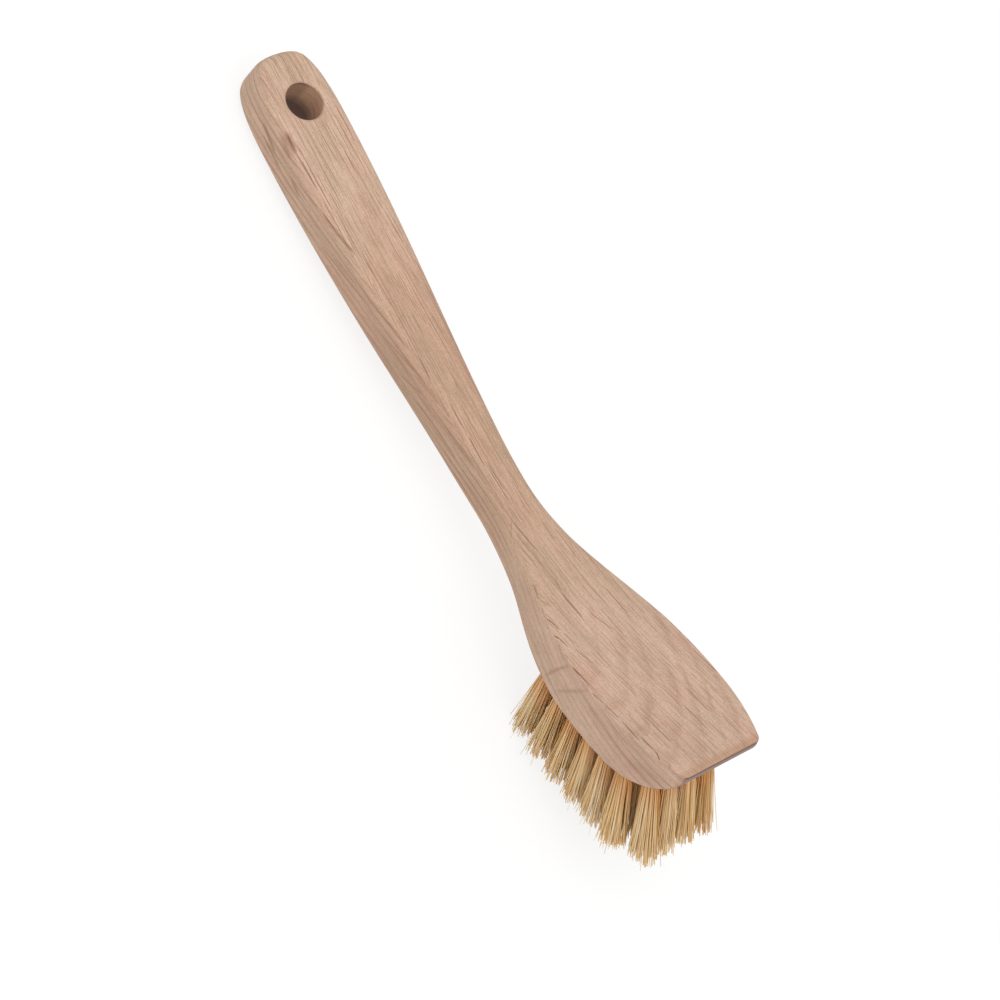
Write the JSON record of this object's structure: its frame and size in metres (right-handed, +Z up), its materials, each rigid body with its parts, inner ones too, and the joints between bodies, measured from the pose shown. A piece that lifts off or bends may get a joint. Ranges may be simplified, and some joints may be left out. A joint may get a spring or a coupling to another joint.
{
  "type": "dish brush",
  "caption": "Wooden dish brush: a flat oak head runs into a bent, gently swelling handle with a hanging hole; tufts of plant fibre fan out from drilled holes below it.",
  "frame": {"origin": "middle of the box of the brush, on the surface it lies on", "axes": "+Z up as the brush lies at rest on its rear bristles and the handle's end, +Y from the head towards the handle's end, +X across the head"},
  "size_m": [0.0404, 0.2712, 0.0708],
  "materials": {
    "oiled_oak": "sanded and lightly oiled",
    "plant_fibre": "natural, untreated",
    "anchor_wire": "galvanised"
  },
  "bodies": {
    "root": {"oak_handle_and_head": "oiled_oak", "tuft_row1_1": "plant_fibre", "tuft_row1_2": "plant_fibre", "tuft_row1_3": "plant_fibre", "tuft_row1_4": "plant_fibre", "tuft_row2_1": "plant_fibre", "tuft_row2_2": "plant_fibre", "tuft_row2_3": "plant_fibre", "tuft_row2_4": "plant_fibre", "tuft_row2_5": "plant_fibre", "tuft_row3_1": "plant_fibre", "tuft_row3_2": "plant_fibre", "tuft_row3_3": "plant_fibre", "tuft_row3_4": "plant_fibre", "tuft_row4_1": "plant_fibre", "tuft_row4_2": "plant_fibre", "tuft_row4_3": "plant_fibre", "tuft_row4_4": "plant_fibre", "tuft_row4_5": "plant_fibre", "tuft_row5_1": "plant_fibre", "tuft_row5_2": "plant_fibre", "tuft_row5_3": "plant_fibre", "tuft_row5_4": "plant_fibre", "tuft_row6_1": "plant_fibre", "tuft_row6_2": "plant_fibre", "tuft_row6_3": "plant_fibre", "tuft_row6_4": "plant_fibre", "tuft_row7_1": "plant_fibre", "tuft_row7_2": "plant_fibre", "tuft_row7_3": "plant_fibre", "anchor_row1_1": "anchor_wire", "anchor_row1_2": "anchor_wire", "anchor_row1_3": "anchor_wire", "anchor_row1_4": "anchor_wire", "anchor_row2_1": "anchor_wire", "anchor_row2_2": "anchor_wire", "anchor_row2_3": "anchor_wire", "anchor_row2_4": "anchor_wire", "anchor_row2_5": "anchor_wire", "anchor_row3_1": "anchor_wire", "anchor_row3_2": "anchor_wire", "anchor_row3_3": "anchor_wire", "anchor_row3_4": "anchor_wire", "anchor_row4_1": "anchor_wire", "anchor_row4_2": "anchor_wire", "anchor_row4_3": "anchor_wire", "anchor_row4_4": "anchor_wire", "anchor_row4_5": "anchor_wire", "anchor_row5_1": "anchor_wire", "anchor_row5_2": "anchor_wire", "anchor_row5_3": "anchor_wire", "anchor_row5_4": "anchor_wire", "anchor_row6_1": "anchor_wire", "anchor_row6_2": "anchor_wire", "anchor_row6_3": "anchor_wire", "anchor_row6_4": "anchor_wire", "anchor_row7_1": "anchor_wire", "anchor_row7_2": "anchor_wire", "anchor_row7_3": "anchor_wire"}
  },
  "joints": []
}
